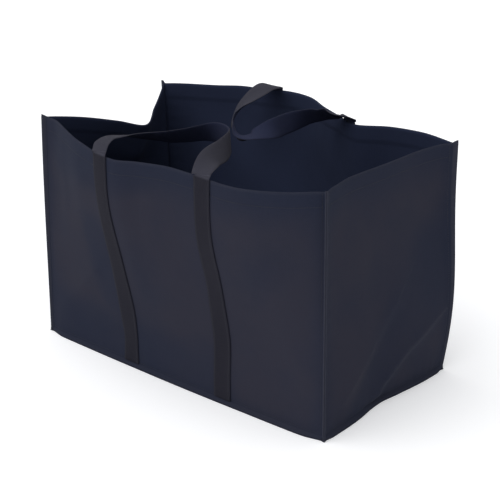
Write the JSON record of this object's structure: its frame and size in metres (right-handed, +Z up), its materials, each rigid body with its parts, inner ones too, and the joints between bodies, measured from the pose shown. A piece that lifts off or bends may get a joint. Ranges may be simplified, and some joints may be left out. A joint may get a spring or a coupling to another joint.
{
  "type": "canvas carrier bag",
  "caption": "Open-topped box-shaped canvas carrier with turned-out corner seams, webbing straps sewn up the long sides and a soft loop handle at each long rim.",
  "frame": {"origin": "underside of the base, under the middle of the bag", "axes": "+X along the bag's length to the right as the front is faced, +Y to the back, +Z up"},
  "size_m": [0.5829, 0.4099, 0.3728],
  "materials": {
    "canvas": "matte woven",
    "webbing": "matte ribbed"
  },
  "bodies": {
    "root": {"bottom_panel": "canvas", "front_panel": "canvas", "right_end_panel": "canvas", "back_panel": "canvas", "left_end_panel": "canvas", "front_strap": "webbing", "back_strap": "webbing"}
  },
  "joints": []
}
